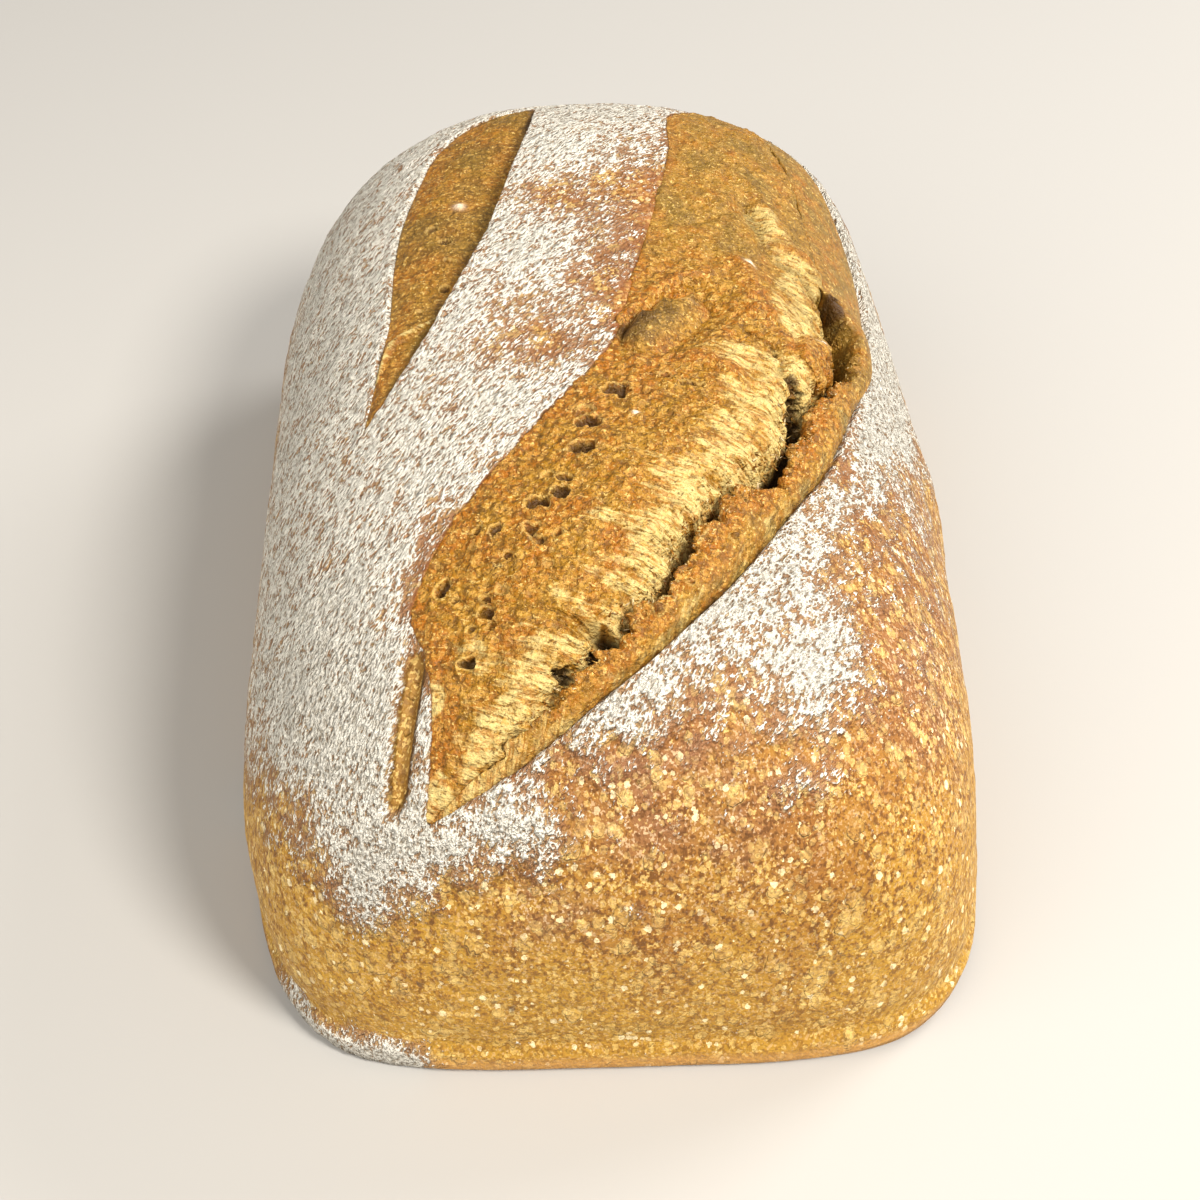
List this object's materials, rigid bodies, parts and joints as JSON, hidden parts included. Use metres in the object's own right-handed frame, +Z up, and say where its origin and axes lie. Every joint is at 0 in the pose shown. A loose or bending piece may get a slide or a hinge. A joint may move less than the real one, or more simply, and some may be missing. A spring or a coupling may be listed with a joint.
{
  "type": "rye sourdough loaf",
  "caption": "Whole rye sourdough loaf, long with squared ends, a wide slash burst open behind a torn lip, a narrow slash beside it and flour on the crust",
  "frame": {"origin": "middle of the flat base, at its height", "axes": "+Z up; +Y runs along the loaf to the end where both slashes are widest apart; +X is across it, towards the torn lip"},
  "size_m": [0.1313, 0.19, 0.0877],
  "materials": {
    "crust": "baked crust, matt with a faint sheen, dusted with flour; the torn crumb is paler and rough"
  },
  "bodies": {
    "root": {"loaf": "crust"}
  },
  "joints": []
}
